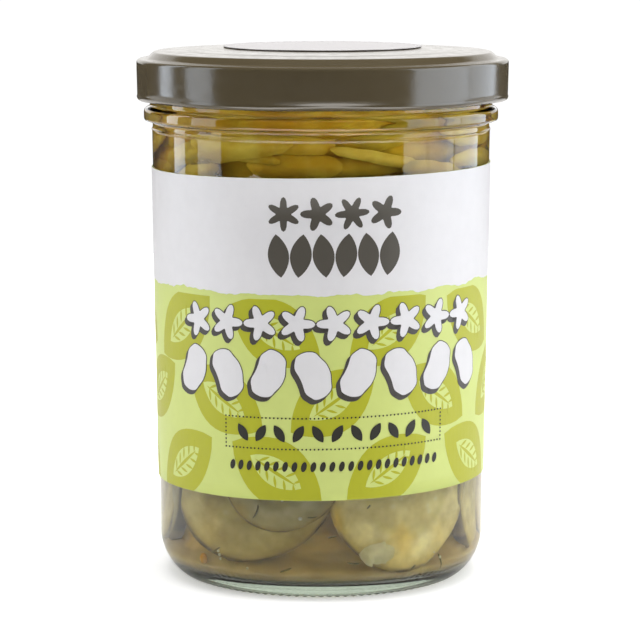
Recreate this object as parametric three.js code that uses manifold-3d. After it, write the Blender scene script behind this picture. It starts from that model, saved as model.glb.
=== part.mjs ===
// A jar of sliced pickles: a clear glass jar with a threaded finish, its twist-off metal lid,
// a round paper seal on the lid, a paper label wrapped round the body, and the packed slices.
// Millimetres, +Z up. The origin is the middle of the base, and the label's front faces -Y.

import * as THREE from 'three';
import { mergeVertices } from 'three/addons/utils/BufferGeometryUtils.js';
import Module from 'manifold-3d';

// Glass jar, outside
const CONTACT_INNER_RADIUS = 28.6; // flat ring that the jar stands on
const CONTACT_OUTER_RADIUS = 31.6;
const PUSH_UP = 2.4; // how far the middle of the underside is raised
const HEEL_HEIGHT = 8.5;
const BODY_LOW_RADIUS = 37.3; // at the top of the heel
const BODY_HIGH_RADIUS = 38.6; // at the parting line
const PARTING_LINE_Z = 102.4;
const BEAD_BOTTOM_Z = 104.4;
const BEAD_TOP_Z = 107.2;
const BEAD_RADIUS = 40.45;
const NECK_RADIUS = 39.0;
const RIM_Z = 117.0;

// Glass jar, inside
const BASE_THICKNESS = 3.4; // in the middle
const CAVITY_DOME = 2.0; // rise of the floor towards its middle
const CAVITY_FLOOR_Z = PUSH_UP + BASE_THICKNESS - CAVITY_DOME; // where the floor is lowest
const CAVITY_HEEL_RADIUS = 5.0;
const WALL = 2.6;
const MOUTH_RADIUS = 35.6;

// Thread: short ramps round the neck that the lid's lugs slide under
const THREAD_STARTS = 6;
const THREAD_ARC = THREE.MathUtils.degToRad(44);
const THREAD_HIGH_Z = 113.9;
const THREAD_LOW_Z = 112.3;
const THREAD_HALF_HEIGHT = 1.1;
const THREAD_DEPTH = 1.1;

// Lid
const LID_TOP_Z = 120.4;
const LID_BOTTOM_Z = 108.9;
const LID_RADIUS = 42.4;
const LID_SHIFT = 0.35; // to the right of the jar's axis, within the play of the thread
const LID_SHEET = 0.6;
const PANEL_RADIUS = 38.4;
const LEDGE_Z = 118.4;
const CURL_RADIUS = 0.95;
const LUG_COUNT = 6;
const LUG_ANGLE = THREE.MathUtils.degToRad(2.5); // of the lug nearest the front
const LUG_HALF_WIDTH = THREE.MathUtils.degToRad(19);
const LUG_DEPTH = 0.85;
const LUG_Z = 110.8; // height at which the skirt is pressed in most

// Paper
const PAPER = 0.18;
const PAPER_GAP = 0.05; // layer of glue under the paper
const SEAL_RADIUS = 22.9;
const SEAL_OFFSET = 9.5; // from the lid's middle towards the back
const LABEL_BOTTOM_Z = 23.2;
const LABEL_TOP_Z = 94.4;
const LABEL_GAP_SEGMENTS = 2; // bare glass at the back, in facets of the jar
const LABEL_TILT = 0.6; // rise of the right side, fall of the left side

// Packed slices
const SLICE_REACH = 8.5; // from a slice's face into the core, so that no hollow is left behind it
const SLICE_RADIUS = 15.6;
const SLICE_SIDES = 12;
const SLICE_ROWS = 6;
const SLICES_PER_ROW = 6;
const LOWEST_ROW_Z = 21;
const ROW_PITCH = 15;
const ROW_DEPTHS = [0, 2.6]; // rows lie on the glass and behind it by turns
const HEAP_CLEARANCE = 0.4; // to the glass
const HEAP_TOP_Z = 107;
const CORE_DEPTH = 5.0; // from the glass to the heap's core

const ROUND_SEGMENTS = 60;
const CORE_SEGMENTS = 30;
const SEED = 20261;

const wasm = await Module();
wasm.setup();

// Profiles are lists of [radius, height]

function arcPoints(radius, height, size, fromDegrees, toDegrees, steps) {
  const points = [];
  for (let i = 0; i <= steps; i++) {
    const angle = THREE.MathUtils.degToRad(fromDegrees + ((toDegrees - fromDegrees) * i) / steps);
    points.push([radius + size * Math.cos(angle), height + size * Math.sin(angle)]);
  }
  return points;
}

function bezierPoints(corners, steps) {
  const [a, b, c, d] = corners.map(([r, z]) => new THREE.Vector2(r, z));
  return new THREE.CubicBezierCurve(a, b, c, d).getPoints(steps).map((p) => [p.x, p.y]);
}

// Turns a profile round the Z axis. Angle 0 is the front, and positive angles go to the right.
function turned(profile, segments = ROUND_SEGMENTS) {
  const points = profile.map(([r, z]) => new THREE.Vector2(r, z));
  return new THREE.LatheGeometry(points, segments).rotateX(Math.PI / 2);
}

// Moves every vertex: change() gets and returns its radius, angle and height
function reshaped(geometry, change) {
  const place = geometry.attributes.position;
  for (let i = 0; i < place.count; i++) {
    const x = place.getX(i);
    const y = place.getY(i);
    const [radius, angle, z] = change(Math.hypot(x, y), Math.atan2(x, -y), place.getZ(i));
    place.setXYZ(i, radius * Math.sin(angle), -radius * Math.cos(angle), z);
  }
  return geometry;
}

// Distance in angle to the nearest of some evenly spaced places round the axis
function angleToNearest(angle, first, count) {
  const step = (2 * Math.PI) / count;
  const turns = (angle - first) / step;
  return (turns - Math.round(turns)) * step;
}

// A smooth hump: 1 at 0, falling to 0 at 1 and beyond
function hump(x) {
  const t = Math.min(Math.abs(x), 1);
  return 0.5 + 0.5 * Math.cos(Math.PI * t);
}

function bodyRadius(z) {
  const share = (z - HEEL_HEIGHT) / (PARTING_LINE_Z - HEEL_HEIGHT);
  return BODY_LOW_RADIUS + share * (BODY_HIGH_RADIUS - BODY_LOW_RADIUS);
}

// Radius of the jar's inside at a height
function cavityRadius(z) {
  const side = Math.min(bodyRadius(z) - WALL, z > BEAD_BOTTOM_Z ? MOUTH_RADIUS : Infinity);
  const rise = z - CAVITY_FLOOR_Z;
  if (rise >= CAVITY_HEEL_RADIUS) return side;
  const drop = CAVITY_HEEL_RADIUS - Math.max(rise, 0);
  return side - CAVITY_HEEL_RADIUS + Math.sqrt(CAVITY_HEEL_RADIUS ** 2 - drop ** 2);
}

// Glass jar

function threadLift(angle, z) {
  const along = angleToNearest(angle, LUG_ANGLE, THREAD_STARTS) / (THREAD_ARC / 2);
  if (Math.abs(along) >= 1) return 0;
  const middle = THREAD_LOW_Z + ((along + 1) / 2) * (THREAD_HIGH_Z - THREAD_LOW_Z);
  return THREAD_DEPTH * hump((z - middle) / THREAD_HALF_HEIGHT) * Math.min(1, 4 * (1 - Math.abs(along)));
}

function glassJar() {
  const heel = bezierPoints([
    [CONTACT_OUTER_RADIUS, 0],
    [CONTACT_OUTER_RADIUS + 1.8, 0],
    [BODY_LOW_RADIUS - 0.4, 0.46 * HEEL_HEIGHT],
    [BODY_LOW_RADIUS, HEEL_HEIGHT],
  ], 6);
  const underside = [
    [0, PUSH_UP],
    [CONTACT_INNER_RADIUS * 0.6, PUSH_UP * 0.82],
    [CONTACT_INNER_RADIUS * 0.9, PUSH_UP * 0.35],
    [CONTACT_INNER_RADIUS, 0],
  ];
  const shoulder = [
    [bodyRadius(PARTING_LINE_Z - 0.5), PARTING_LINE_Z - 0.5],
    [BODY_HIGH_RADIUS + 0.12, PARTING_LINE_Z],
    [BODY_HIGH_RADIUS - 0.15, PARTING_LINE_Z + 0.5],
    [BODY_HIGH_RADIUS - 0.1, BEAD_BOTTOM_Z - 0.5],
    [BODY_HIGH_RADIUS + 0.4, BEAD_BOTTOM_Z - 0.05],
  ];
  const bead = [
    [BEAD_RADIUS - 0.5, BEAD_BOTTOM_Z + 0.05],
    [BEAD_RADIUS, BEAD_BOTTOM_Z + 0.6],
    [BEAD_RADIUS, BEAD_TOP_Z - 0.6],
    [BEAD_RADIUS - 0.4, BEAD_TOP_Z - 0.1],
    [NECK_RADIUS + 0.4, BEAD_TOP_Z + 0.15],
  ];
  const neck = [[NECK_RADIUS, BEAD_TOP_Z + 0.8]];
  for (let z = 110.6; z < 115.4; z += 0.8) neck.push([NECK_RADIUS, z]);
  const rimWidth = NECK_RADIUS - MOUTH_RADIUS;
  const rim = arcPoints(NECK_RADIUS - rimWidth / 2, RIM_Z - rimWidth / 2, rimWidth / 2, 20, 160, 5);
  const cavity = [
    [MOUTH_RADIUS, 110],
    [MOUTH_RADIUS, BEAD_BOTTOM_Z],
    [cavityRadius(100), 100],
  ];
  const floorRadius = cavityRadius(CAVITY_FLOOR_Z);
  const low = arcPoints(floorRadius, CAVITY_FLOOR_Z + CAVITY_HEEL_RADIUS, CAVITY_HEEL_RADIUS, 0, -90, 5);
  const profile = [...underside, ...heel, ...shoulder, ...bead, ...neck, ...rim, ...cavity, ...low];
  for (const share of [0.67, 0.33, 0]) {
    profile.push([floorRadius * share, CAVITY_FLOOR_Z + CAVITY_DOME * (1 - share * share)]);
  }
  return reshaped(turned(profile), (radius, angle, z) => {
    const onNeck = radius > NECK_RADIUS - 0.01 && z > BEAD_TOP_Z + 1 && z < 116;
    return [radius + (onNeck ? threadLift(angle, z) : 0), angle, z];
  });
}

// Lid: one sheet with a raised panel, a ledge over the rim, a skirt and a curled hem

function lid() {
  const corner = 1.3;
  const skirtInner = LID_RADIUS - LID_SHEET;
  const curlZ = LID_BOTTOM_Z + CURL_RADIUS;
  const outside = [
    [0, LID_TOP_Z],
    [PANEL_RADIUS - 8, LID_TOP_Z],
    [PANEL_RADIUS - 6, LID_TOP_Z - 0.2],
    [PANEL_RADIUS - 0.1, LID_TOP_Z - 0.4],
    [PANEL_RADIUS + 0.5, LID_TOP_Z - 0.8],
    [PANEL_RADIUS + 1.6, LEDGE_Z + 0.25],
    [PANEL_RADIUS + 2.3, LEDGE_Z],
    ...arcPoints(LID_RADIUS - corner, LEDGE_Z - corner, corner, 90, 0, 4),
    [LID_RADIUS - 0.1, LUG_Z + 2.4],
    [LID_RADIUS - 0.15, LUG_Z + 1.2],
    [LID_RADIUS - 0.2, LUG_Z],
  ];
  const curl = arcPoints(LID_RADIUS - CURL_RADIUS, curlZ, CURL_RADIUS, 15, -225, 8);
  const inside = [
    [skirtInner - 0.2, LUG_Z + 0.5],
    [skirtInner, LUG_Z + 2.7],
    [skirtInner, LEDGE_Z - corner],
    [LID_RADIUS - corner, LEDGE_Z - LID_SHEET],
    [PANEL_RADIUS + 1.9, LEDGE_Z - LID_SHEET],
    [PANEL_RADIUS + 1.1, LEDGE_Z - LID_SHEET + 0.25],
    [PANEL_RADIUS - 0.3, LID_TOP_Z - LID_SHEET - 0.6],
    [PANEL_RADIUS - 6.2, LID_TOP_Z - LID_SHEET - 0.2],
    [PANEL_RADIUS - 8.2, LID_TOP_Z - LID_SHEET],
    [0, LID_TOP_Z - LID_SHEET],
  ];
  const topDown = [...outside, ...curl, ...inside];
  const sheet = reshaped(turned(topDown.reverse()), (radius, angle, z) => {
    const across = hump(angleToNearest(angle, LUG_ANGLE, LUG_COUNT) / LUG_HALF_WIDTH);
    const onOutside = radius > LID_RADIUS - LID_SHEET / 2;
    const outerDown = hump((z - LUG_Z) / (z > LUG_Z ? 2.4 : 1.6));
    const innerDown = hump(Math.max(Math.abs(z - LUG_Z + 0.6) - 0.9, 0) / 2.2);
    return [radius - LUG_DEPTH * across * (onOutside ? outerDown : innerDown), angle, z];
  });
  return sheet.translate(LID_SHIFT, 0, 0);
}

// Paper seal on the lid and paper label round the body

function seal() {
  const disc = new THREE.CylinderGeometry(SEAL_RADIUS, SEAL_RADIUS, PAPER, 48);
  disc.rotateX(Math.PI / 2);
  return disc.translate(LID_SHIFT, SEAL_OFFSET, LID_TOP_Z + PAPER_GAP + PAPER / 2);
}

function label() {
  const step = (2 * Math.PI) / ROUND_SEGMENTS;
  const facets = ROUND_SEGMENTS - LABEL_GAP_SEGMENTS;
  const angles = [];
  for (let i = 0; i <= facets; i++) angles.push((i - facets / 2) * step);
  const inner = bodyRadius(LABEL_BOTTOM_Z) + PAPER_GAP;
  const at = (angle, radius) => new THREE.Vector2(radius * Math.sin(angle), -radius * Math.cos(angle));
  const outline = new THREE.Shape([
    ...angles.map((angle) => at(angle, inner + PAPER)),
    ...angles.toReversed().map((angle) => at(angle, inner)),
  ]);
  const height = LABEL_TOP_Z - LABEL_BOTTOM_Z;
  const strip = new THREE.ExtrudeGeometry(outline, { depth: height, bevelEnabled: false });
  strip.translate(0, 0, LABEL_BOTTOM_Z);
  return reshaped(strip, (radius, angle, z) => {
    const flare = bodyRadius(z) - bodyRadius(LABEL_BOTTOM_Z);
    return [radius + flare, angle, z + LABEL_TILT * Math.sin(angle)];
  });
}

// Packed slices: bent discs that lie against the glass, fused to a core

function seededRandom(seed) {
  let state = seed;
  return () => {
    state = (state * 1664525 + 1013904223) % 4294967296;
    return state / 4294967296;
  };
}

function slice(angle, z, depth, random) {
  const size = SLICE_RADIUS * (0.85 + 0.25 * random());
  const narrow = 0.86 + 0.14 * random();
  const roll = random() * Math.PI;
  const disc = new THREE.CylinderGeometry(size, size * 0.97, SLICE_REACH, SLICE_SIDES);
  const place = disc.attributes.position;
  for (let i = 0; i < place.count; i++) {
    const a = place.getX(i);
    const b = -place.getZ(i) * narrow;
    const across = a * Math.cos(roll) - b * Math.sin(roll);
    const up = a * Math.sin(roll) + b * Math.cos(roll);
    const height = Math.min(Math.max(z + up, CAVITY_FLOOR_Z + 1.5), HEAP_TOP_Z);
    const face = cavityRadius(height) - HEAP_CLEARANCE - depth;
    const radius = face + place.getY(i) - SLICE_REACH / 2;
    const turn = angle + across / cavityRadius(z);
    place.setXYZ(i, radius * Math.sin(turn), -radius * Math.cos(turn), height);
  }
  return disc;
}

function toManifold(geometry) {
  const bare = geometry.clone();
  bare.deleteAttribute('normal');
  bare.deleteAttribute('uv');
  const merged = mergeVertices(bare, 1e-4);
  return new wasm.Manifold(new wasm.Mesh({
    numProp: 3,
    vertProperties: new Float32Array(merged.attributes.position.array),
    triVerts: new Uint32Array(merged.index.array),
  }));
}

function fromManifold(solid) {
  const mesh = solid.getMesh();
  const geometry = new THREE.BufferGeometry();
  geometry.setAttribute('position', new THREE.BufferAttribute(mesh.vertProperties, 3));
  geometry.setIndex(new THREE.BufferAttribute(mesh.triVerts, 1));
  geometry.computeVertexNormals();
  return geometry;
}

// The solid without the small hollows that fusing seals
function withoutHollows(solid) {
  return solid.decompose().reduce((best, shell) => (shell.volume() > best.volume() ? shell : best));
}

function packedSlices() {
  const random = seededRandom(SEED);
  const side = cavityRadius(50) - CORE_DEPTH;
  const low = CAVITY_FLOOR_Z + CAVITY_DOME + 0.6;
  let heap = toManifold(turned([
    [0, low],
    [side - 8, low],
    [side - 2, low + 4],
    [side, low + 11],
    [side + 0.6, HEAP_TOP_Z - 8],
    [side - 2, HEAP_TOP_Z - 2],
    [side - 7, HEAP_TOP_Z - 0.5],
    [0, HEAP_TOP_Z - 0.5],
  ], CORE_SEGMENTS));
  for (let row = 0; row < SLICE_ROWS; row++) {
    const depth = ROW_DEPTHS[row % ROW_DEPTHS.length];
    const shift = 0.5 * Math.floor(row / ROW_DEPTHS.length) + 0.25 * (row % ROW_DEPTHS.length);
    for (let i = 0; i < SLICES_PER_ROW; i++) {
      const angle = ((i + shift) / SLICES_PER_ROW) * 2 * Math.PI;
      const z = LOWEST_ROW_Z + row * ROW_PITCH + 3 * (random() - 0.5);
      heap = heap.add(toManifold(slice(angle, z, depth, random)));
    }
  }
  return fromManifold(withoutHollows(heap));
}

// The jar as a scene graph

function material(color, roughness, metalness) {
  return new THREE.MeshStandardMaterial({ color, roughness, metalness });
}

function piece(name, geometry, finish) {
  const mesh = new THREE.Mesh(geometry, finish);
  mesh.name = name;
  return mesh;
}

const glass = material(0xdce8e0, 0.05, 0);
glass.transparent = true;
glass.opacity = 0.35;

const group = new THREE.Group();
group.name = 'pickle_jar';
group.add(
  piece('jar_glass', glassJar(), glass),
  piece('lid', lid(), material(0x24221d, 0.22, 0.4)),
  piece('lid_seal', seal(), material(0xe4e2de, 0.6, 0)),
  piece('label', label(), material(0xb9cf63, 0.6, 0)),
  piece('pickles', packedSlices(), material(0x9a8a3c, 0.4, 0)),
);

export default group;
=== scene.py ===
"""A shut glass jar of sliced pickles with a dark twist-off lid and a printed wrap label.

Shapes are worked out in millimetres, and put_in_scene turns them into metres. Angles go round the
jar from the middle of the label's front, which faces -Y, and are positive to the right.
"""

import math
import random

import bmesh
import bpy
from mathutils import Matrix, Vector, geometry, noise


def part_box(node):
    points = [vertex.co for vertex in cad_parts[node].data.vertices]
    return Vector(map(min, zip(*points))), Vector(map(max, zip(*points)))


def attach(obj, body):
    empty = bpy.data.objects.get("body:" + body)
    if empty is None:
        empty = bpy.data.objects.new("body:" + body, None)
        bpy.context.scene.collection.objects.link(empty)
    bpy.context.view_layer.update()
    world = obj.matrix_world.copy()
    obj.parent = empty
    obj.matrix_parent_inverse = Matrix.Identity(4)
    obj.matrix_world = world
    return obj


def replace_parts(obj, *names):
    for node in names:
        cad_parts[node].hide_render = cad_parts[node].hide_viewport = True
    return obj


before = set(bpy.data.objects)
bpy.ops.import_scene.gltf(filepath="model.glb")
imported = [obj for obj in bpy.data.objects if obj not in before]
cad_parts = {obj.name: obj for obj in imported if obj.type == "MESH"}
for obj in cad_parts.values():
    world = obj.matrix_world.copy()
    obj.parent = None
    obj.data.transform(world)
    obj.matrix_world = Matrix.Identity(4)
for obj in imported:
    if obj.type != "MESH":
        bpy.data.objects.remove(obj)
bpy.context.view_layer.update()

MM = 0.001
SEED = 20261
BODY = "root"

# Glass jar, outside
CONTACT_INNER = 28.6
CONTACT_OUTER = 31.6
PUSH_UP = 2.4
HEEL_HEIGHT = 8.5
BODY_LOW_RADIUS = 37.3
BODY_HIGH_RADIUS = 38.6
PARTING_Z = 102.4
BEAD_BOTTOM = 104.4
BEAD_TOP = 107.2
BEAD_RADIUS = 40.45
NECK_RADIUS = 39.0
NECK_FOOT = 109.6
RIM_Z = 117.0
SEAM_ANGLE = math.radians(37.8)
KNURLS = 110

# Glass jar, inside
WALL = 2.6
MOUTH_RADIUS = 35.6
CAVITY_FLOOR = 3.8
CAVITY_HEEL = 5.0
CAVITY_DOME = 2.0
BRINE_TOP = 111.5
BRINE_IN_WALL = 0.12

# Thread and lugs
STARTS = 6
FIRST_START = math.radians(2.5)
THREAD_HALF_ARC = math.radians(22)
THREAD_MIDDLE = 113.1
THREAD_RISE = 0.8
THREAD_SIZE = 1.1

# Lid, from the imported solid
LID_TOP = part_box("lid")[1].z / MM
LID_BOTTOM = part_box("lid")[0].z / MM
LID_RADIUS = (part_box("lid")[1].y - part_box("lid")[0].y) / 2 / MM
LID_SHIFT = 0.35
LID_SHEET = 0.45
PANEL_RADIUS = 38.4
LEDGE_Z = LID_TOP - 2.0
CURL = 0.95
LUG_HALF_WIDTH = math.radians(23)
LUG_DEPTH = 1.0
LUG_TOP = LID_BOTTOM + 2.4

# Paper
PAPER = 0.18
PAPER_GAP = 0.05
SEAL_RADIUS = 22.9
SEAL_OFFSET = 9.5
LABEL_BOTTOM = 23.2
LABEL_TOP = 94.4
LABEL_HALF_ANGLE = math.radians(174)
LABEL_TILT = 0.6
LABEL_RADIUS = 38.1

# Print: films of ink, the torn edge between the label's two fields, and the ink colours
INK = 0.018
FACET = 1.5
TORN_Z = 68.9
LIGHT_GREEN = (0.6, 0.68, 0.2)
OLIVE = (0.43, 0.44, 0.012)
WHITE = (0.74, 0.73, 0.75)
DARK = (0.062, 0.055, 0.048)
BLACK = (0.02, 0.018, 0.012)
EMBLEM_GREY = (0.075, 0.066, 0.052)
PAPER_ROUGHNESS = 0.42
SEAL_WHITE = (0.435, 0.42, 0.42)

# Dotted frame on the label
FRAME_LEFT = -22.3
FRAME_RIGHT = 29.4
FRAME_LOW = 34.7
FRAME_HIGH = 41.6
DOT = 0.42

# Studio, in metres
FLOOR_RADIUS = 0.62
EYE = (-0.00023, -0.6524, 0.1515)
EYE_DOWN = math.radians(8.16)
LENS = 160.4
CARD_DISTANCE = 1.05
CARD_LOW = -0.2
CARD_HEIGHT = 1.1
COOL_CARD = (0.9, 1.0, 1.13)
PLAIN = (1, 1, 1)
LAMP_DISTANCE = 1.2
LAMP_HEIGHT = 0.9

# Standing cards that show in the glass and the lid: name, degrees round the jar, width, radiance
CARDS = (
    ("card_right_near", 78, 0.84, 5.2),
    ("card_right_far", 116, 0.58, 3.6),
    ("card_left_near", -80, 0.38, 4.4),
    ("card_left_far", -110, 0.24, 5.0),
)

# Contents
SLICE_THICKNESS = 4.6
SLICE_RADIUS = 16.8
SLICE_ROWS = 8
SLICES_IN_ROW = 7
ROW_STEP = 9.6
HIGHEST_SLICE = 74
CORE_DEPTH = 8.0
CORE_TOP = 110.3
FRONT_HALF_ANGLE = 1.6
STRANDS = 64
STRANDS_LOW = 91.5


# Shapes: meshes are lists of points and faces in millimetres


def put_in_scene(name, points, faces, look, slot, smooth=True):
    mesh = bpy.data.meshes.new(name)
    mesh.from_pydata([Vector(p) * MM for p in points], [], faces)
    mesh.materials.append(look)
    for face in mesh.polygons:
        face.use_smooth = smooth
    mesh.update()
    piece = bpy.data.objects.new(name, mesh)
    bpy.context.scene.collection.objects.link(piece)
    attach(piece, BODY)
    return piece


def join(points, faces, more_points, more_faces):
    """Adds one more shape to a mesh."""
    start = len(points)
    points.extend(more_points)
    faces.extend(tuple(i + start for i in face) for face in more_faces)


def taken_out(mesh):
    """The points and faces of a bmesh, which is freed."""
    mesh.verts.index_update()
    points = [tuple(v.co) for v in mesh.verts]
    faces = [tuple(v.index for v in f.verts) for f in mesh.faces]
    mesh.free()
    return points, faces


def at(radius, angle, z):
    return (radius * math.sin(angle), -radius * math.cos(angle), z)


def spun(a, b, turn):
    c, s = math.cos(turn), math.sin(turn)
    return c * a - s * b, s * a + c * b


def hump(x):
    return 0.5 + 0.5 * math.cos(math.pi * min(abs(x), 1.0))


def to_nearest(angle, first, count):
    step = 2 * math.pi / count
    turns = (angle - first) / step
    return (turns - round(turns)) * step


def bezier(a, b, c, d, steps):
    points = []
    for i in range(steps + 1):
        t = i / steps
        s = 1 - t
        weights = (s ** 3, 3 * s * s * t, 3 * s * t * t, t ** 3)
        points.append(tuple(sum(w * p[k] for w, p in zip(weights, (a, b, c, d))) for k in (0, 1)))
    return points


def arc(radius, z, size, start, end, steps):
    angles = [math.radians(start + (end - start) * i / steps) for i in range(steps + 1)]
    return [(radius + size * math.cos(a), z + size * math.sin(a)) for a in angles]


def between(a, b, steps):
    """Points after a, up to and with b."""
    return [(a[0] + (b[0] - a[0]) * i / steps, a[1] + (b[1] - a[1]) * i / steps) for i in range(1, steps + 1)]


def rounded(corners, steps=5):
    """An outline of (radius, z, fillet) corners with an arc-like curve at each fillet."""
    out = []
    for i, (r, z, fillet) in enumerate(corners):
        here = Vector((r, z))
        if fillet == 0 or i in (0, len(corners) - 1):
            out.append((r, z))
            continue
        back = Vector(corners[i - 1][:2]) - here
        on = Vector(corners[i + 1][:2]) - here
        a = here + back.normalized() * min(fillet, back.length * 0.49)
        b = here + on.normalized() * min(fillet, on.length * 0.49)
        for k in range(steps + 1):
            t = k / steps
            out.append(tuple(a * (1 - t) ** 2 + here * 2 * t * (1 - t) + b * t * t))
    return out


def braced(profile, reach=0.2):
    """The profile with a point beside each bend on the long stretches.

    They keep smooth shading at the bend."""
    out = [profile[0]]
    for i in range(len(profile) - 1):
        a, b = Vector(profile[i]), Vector(profile[i + 1])
        along = b - a
        if along.length > 3 * reach:
            step = along.normalized() * reach
            if i > 0 and along.angle(a - Vector(profile[i - 1])) > 0.02:
                out.append(tuple(a + step))
            if i + 2 < len(profile) and along.angle(Vector(profile[i + 2]) - b) > 0.02:
                out.append(tuple(b - step))
        out.append(profile[i + 1])
    return out


def turned(profile, segments, shape=None):
    """Turns a profile from axis to axis round Z. shape(radius, angle, z) may move each point."""
    points = []
    faces = []
    rings = []
    for r, z in profile:
        if r < 1e-6:
            rings.append([len(points)] * segments)
            points.append((0, 0, z))
            continue
        rings.append(list(range(len(points), len(points) + segments)))
        for i in range(segments):
            angle = 2 * math.pi * i / segments - math.pi
            points.append(at(*(shape(r, angle, z) if shape else (r, angle, z))))
    for low, high in zip(rings, rings[1:]):
        for i in range(segments):
            j = (i + 1) % segments
            corners = (low[i], low[j], high[j], high[i])
            faces.append(tuple(dict.fromkeys(corners)))
    return points, faces


def body_radius(z):
    share = (z - HEEL_HEIGHT) / (PARTING_Z - HEEL_HEIGHT)
    return BODY_LOW_RADIUS + share * (BODY_HIGH_RADIUS - BODY_LOW_RADIUS)


def cavity_radius(z):
    side = body_radius(z) - WALL
    if z > BEAD_BOTTOM:
        side = min(side, MOUTH_RADIUS)
    drop = CAVITY_HEEL - min(max(z - CAVITY_FLOOR, 0), CAVITY_HEEL)
    return side - CAVITY_HEEL + math.sqrt(CAVITY_HEEL ** 2 - drop ** 2)


def floor_height(radius):
    """Height of the jar's domed inner floor at a distance from the axis."""
    flat = body_radius(CAVITY_FLOOR + CAVITY_HEEL) - WALL - CAVITY_HEEL
    return CAVITY_FLOOR + CAVITY_DOME * max(0.0, 1 - (radius / flat) ** 2)


# Glass jar and brine


def wave(angle, z):
    """The slow unevenness of the blown inner wall."""
    spot = Vector((1.6 * math.cos(angle), 1.6 * math.sin(angle), z * 0.045))
    return 0.16 * noise.noise(spot) + 0.05 * noise.noise(spot * 3.1)


def cavity_outline(top, extra):
    """The inside of the jar from the mouth down to the axis, moved out into the glass by extra."""
    side = body_radius(CAVITY_FLOOR + CAVITY_HEEL) - WALL + extra
    outline = [(MOUTH_RADIUS + extra, top)]
    outline += between(outline[-1], (MOUTH_RADIUS + extra, BEAD_BOTTOM), 4)
    outline += between(outline[-1], (cavity_radius(99) + extra, 99), 5)
    outline += between(outline[-1], (side, CAVITY_FLOOR + CAVITY_HEEL), 18)
    outline += arc(side - CAVITY_HEEL, CAVITY_FLOOR + CAVITY_HEEL, CAVITY_HEEL, 0, -90, 14)[1:]
    outline[-1] = (side - CAVITY_HEEL, CAVITY_FLOOR - extra)
    flat = outline[-1][0]
    for i in range(1, 11):
        r = flat * (1 - i / 10)
        outline.append((r, CAVITY_FLOOR - extra + CAVITY_DOME * (1 - (r / flat) ** 2)))
    return outline


def thread(angle, z):
    along = to_nearest(angle, FIRST_START, STARTS) / THREAD_HALF_ARC
    if abs(along) >= 1:
        return 0
    middle = THREAD_MIDDLE + THREAD_RISE * along
    return THREAD_SIZE * hump((z - middle) / THREAD_SIZE) * min(1, 4 * (1 - abs(along)))


def glass_jar():
    heel = bezier(
        (CONTACT_OUTER, 0),
        (CONTACT_OUTER + 1.8, 0),
        (BODY_LOW_RADIUS - 0.4, 0.46 * HEEL_HEIGHT),
        (BODY_LOW_RADIUS, HEEL_HEIGHT),
        16,
    )
    underside = rounded([
        (0, PUSH_UP, 0),
        (CONTACT_INNER * 0.6, PUSH_UP * 0.9, 6),
        (CONTACT_INNER * 0.8, PUSH_UP * 0.62, 0),
        (CONTACT_INNER * 0.82, PUSH_UP * 0.4, 0.3),
        (CONTACT_INNER * 0.84, PUSH_UP * 0.56, 0),
        (CONTACT_INNER * 0.93, PUSH_UP * 0.35, 1.5),
        (CONTACT_INNER, 0, 0.5),
        (CONTACT_INNER + 1, 0, 0),
        (CONTACT_OUTER, 0, 0),
    ])
    wall = between(heel[-1], (body_radius(PARTING_Z - 0.7), PARTING_Z - 0.7), 8)
    shoulder = rounded([
        (BODY_HIGH_RADIUS - 0.01, PARTING_Z - 0.4, 0.1),
        (BODY_HIGH_RADIUS + 0.14, PARTING_Z, 0.15),
        (BODY_HIGH_RADIUS - 0.12, PARTING_Z + 0.35, 0.2),
        (BODY_HIGH_RADIUS - 0.2, BEAD_BOTTOM - 0.1, 0.9),
        (BEAD_RADIUS, BEAD_BOTTOM + 0.05, 0.7),
        (BEAD_RADIUS, BEAD_TOP - 0.1, 0.8),
        (NECK_RADIUS, BEAD_TOP + 0.5, 0.6),
        (NECK_RADIUS, NECK_FOOT, 0),
    ])
    neck = between((NECK_RADIUS, NECK_FOOT), (NECK_RADIUS, 115.3), 16)
    half_rim = (NECK_RADIUS - MOUTH_RADIUS) / 2
    rim = arc(NECK_RADIUS - half_rim, RIM_Z - half_rim, half_rim, 10, 170, 12)
    inside = cavity_outline(112, 0)
    profile = braced(underside + heel[1:] + wall[:-1] + shoulder + neck + rim) + inside

    def shape(r, angle, z):
        if (r, z) in inner_spots:
            return r + wave(angle, z) * min(1, r / 20), angle, z
        if z < 1.3 and CONTACT_INNER + 1.2 < r < CONTACT_OUTER + 2.2:
            groove = hump((r - CONTACT_OUTER - 0.2) / 2.2)
            lift = 0.28 * groove * (0.5 - 0.5 * math.cos(KNURLS * angle))
            return r - 0.5 * lift, angle, z + lift
        if z > NECK_FOOT - 0.1 and abs(r - NECK_RADIUS) <= 0.01:
            return r + thread(angle, z), angle, z
        seam = min(abs(to_nearest(angle, SEAM_ANGLE, 2)), 1) * r
        on_seam = 0.14 * max(0, 1 - seam / 0.4) if r > 33 else 0
        return r + on_seam, angle, z

    inner_spots = set(inside)
    points, faces = turned(profile, KNURLS * 5, shape)
    return put_in_scene("glass_jar", points, faces, clear_glass(), "glass")


def brine():
    top = BRINE_TOP
    mouth = MOUTH_RADIUS + BRINE_IN_WALL
    meniscus = [(0, top - 0.6), (mouth * 0.5, top - 0.6), (mouth - 3, top - 0.55), (mouth - 1.2, top - 0.4)]
    outline = meniscus + cavity_outline(top, BRINE_IN_WALL)

    def shape(r, angle, z):
        return r + (wave(angle, z) * min(1, r / 20) if z < top - 0.3 else 0), angle, z

    points, faces = turned(outline[::-1], 240, shape)
    return put_in_scene("brine", points, faces, brine_look(), "pickle")


# Lid


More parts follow.
